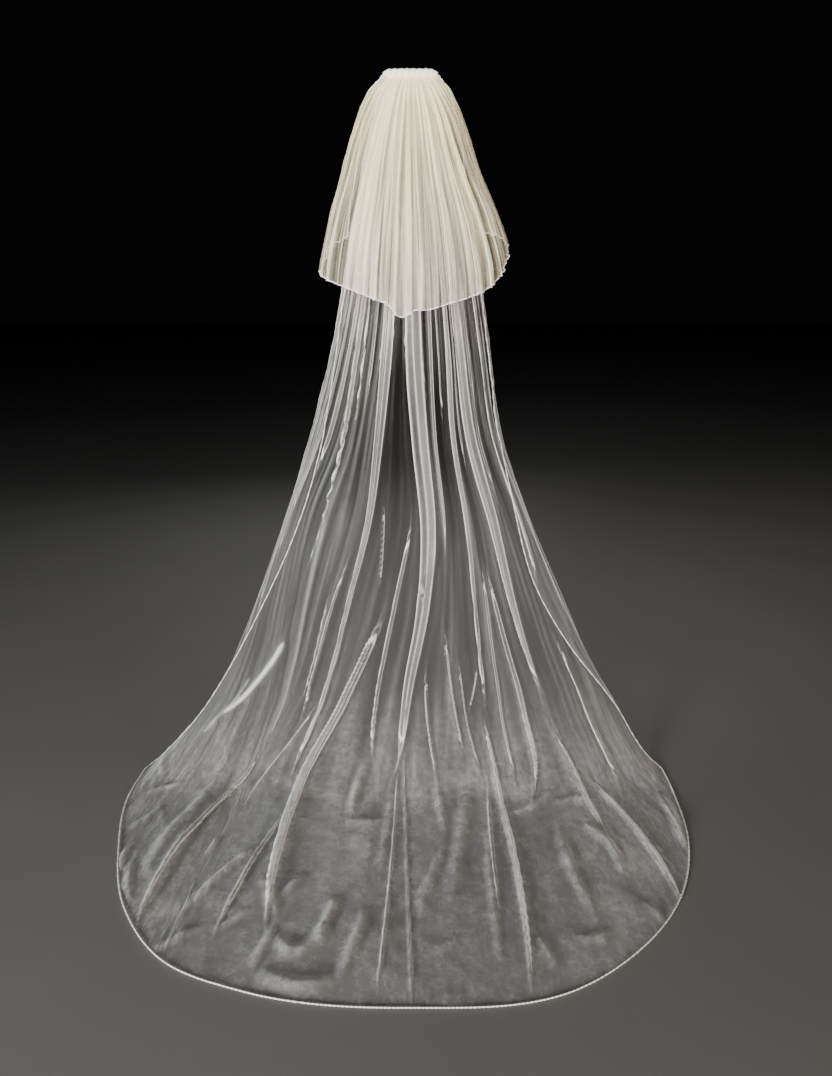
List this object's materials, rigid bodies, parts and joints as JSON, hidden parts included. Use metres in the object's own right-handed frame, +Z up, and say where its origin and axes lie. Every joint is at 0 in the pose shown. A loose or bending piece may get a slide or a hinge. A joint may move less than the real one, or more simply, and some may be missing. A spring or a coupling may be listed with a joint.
{
  "type": "bridal veil",
  "caption": "Two-tier tulle bridal veil gathered on a hair comb, with a corded edge, hung at full length with its train spread on the floor.",
  "frame": {"origin": "middle of the root of the comb's teeth, where the comb seats in the hair", "axes": "+Z up, +Y the way the wearer faces, so the train runs out towards -Y, and +X to the right seen from behind the wearer"},
  "size_m": [1.527, 1.0363, 1.841],
  "materials": {
    "comb_plastic": "clear moulded plastic, lightly polished",
    "gathered_tulle": "dense gathered ivory tulle",
    "upper_tulle": "sheer warm ivory tulle, matt",
    "lower_tulle": "sheer ivory tulle, matt",
    "satin_cord": "smooth ivory satin cord with a soft sheen"
  },
  "bodies": {
    "root": {"comb": "comb_plastic", "gathered_heading": "gathered_tulle", "upper_tier": "upper_tulle", "lower_tier": "lower_tulle", "upper_edge_cord": "satin_cord", "lower_edge_cord": "satin_cord"}
  },
  "joints": []
}
